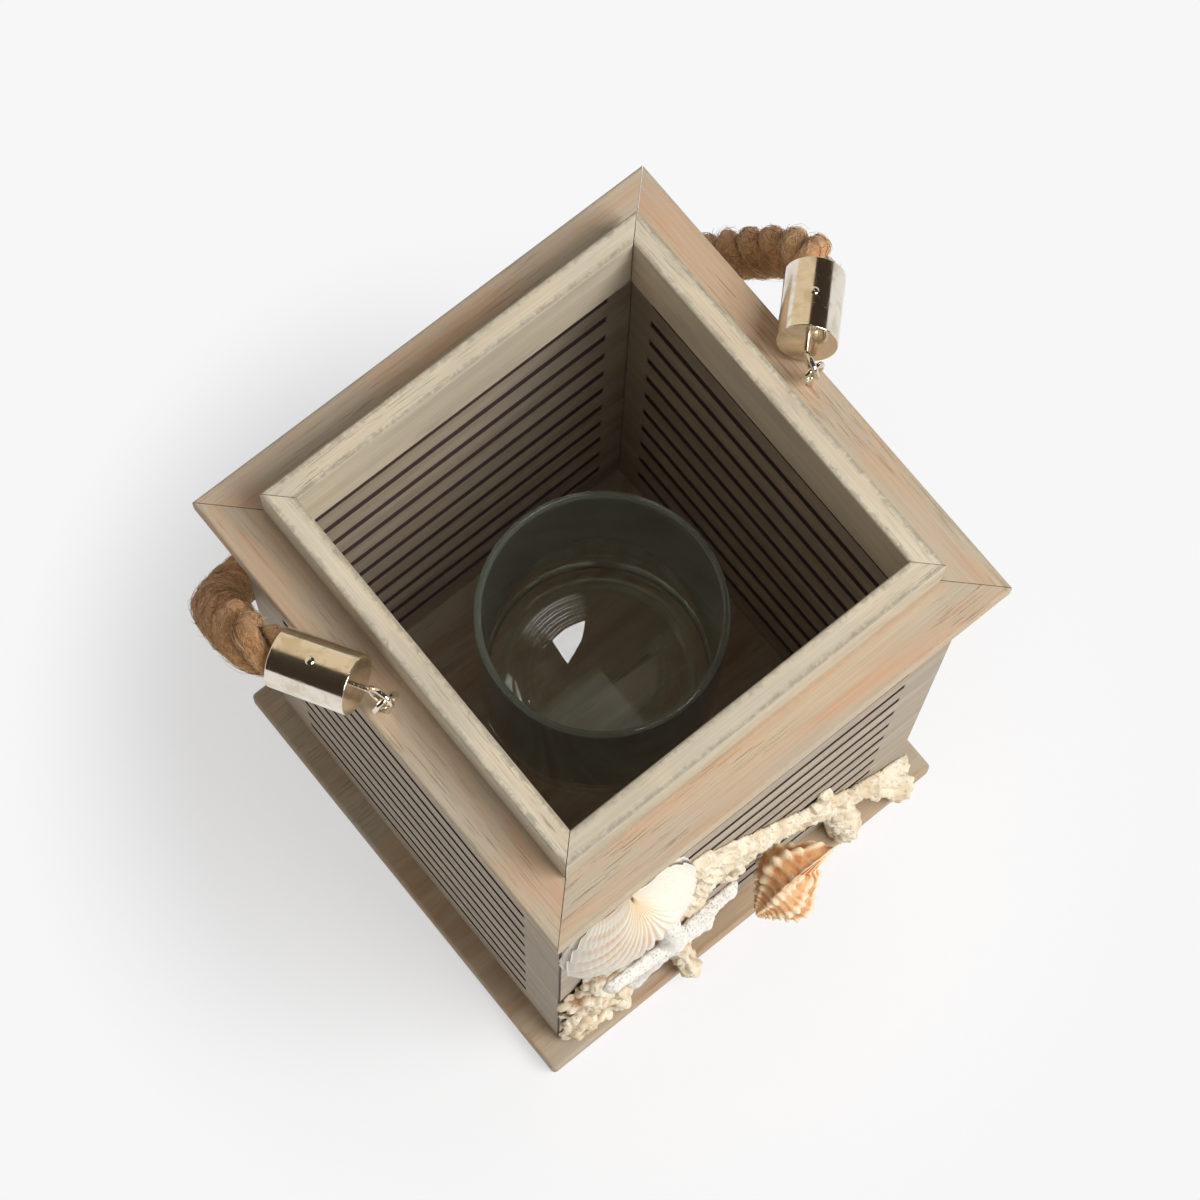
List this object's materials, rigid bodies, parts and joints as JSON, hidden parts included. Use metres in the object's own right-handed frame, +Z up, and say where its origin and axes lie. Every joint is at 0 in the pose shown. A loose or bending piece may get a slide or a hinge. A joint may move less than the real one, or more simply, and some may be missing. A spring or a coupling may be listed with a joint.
{
  "type": "candle lantern",
  "caption": "Square wooden hurricane lantern with slotted walls, a loose glass candle cup, a rope handle on screw eyes, and shells and coral glued to its front.",
  "frame": {"origin": "middle of the underside of the base board", "axes": "+Z up, -Y out of the ornamented front wall, +X to the right seen from the front"},
  "size_m": [0.2585, 0.2458, 0.3059],
  "materials": {
    "wood": "limed, matt",
    "pale_wood": "limed and rubbed, matt",
    "glass": "clear",
    "nickel": "polished nickel plate",
    "steel": "plain",
    "rope": "laid jute",
    "shell": "natural shell",
    "starfish": "dried, pitted",
    "murex": "natural shell",
    "coral": "dry and rough"
  },
  "bodies": {
    "lantern": {"base_board": "wood", "base_screws": "steel", "wall_front": "wood", "wall_back": "wood", "wall_left": "wood", "wall_right": "wood", "collar_front": "wood", "collar_back": "wood", "collar_left": "wood", "collar_right": "wood", "rim_front": "pale_wood", "rim_back": "pale_wood", "rim_left": "pale_wood", "rim_right": "pale_wood", "screw_eye_left": "nickel", "screw_eye_right": "nickel", "scallop_shell": "shell", "starfish": "starfish", "murex_shell": "murex", "coral_branch": "coral", "coral_clump": "coral", "coral_twig": "coral"},
    "handle": {"rope_handle": "rope", "ferrule_left": "nickel", "ferrule_right": "nickel", "ferrule_eye_left": "nickel", "ferrule_eye_right": "nickel", "rope_pin_left": "nickel", "rope_pin_right": "nickel"},
    "glass": {"glass_cup": "glass"}
  },
  "joints": [
    {"name": "handle_swing", "type": "hinge", "parent": "lantern", "child": "handle", "pos_m": [0, 0, 0.2975], "axis": [1, 0, 0], "range_deg": [0, 190]},
    {"name": "glass_lift", "type": "slide", "parent": "lantern", "child": "glass", "axis": [0, 0, 1], "range_m": [0, 0.3]}
  ]
}
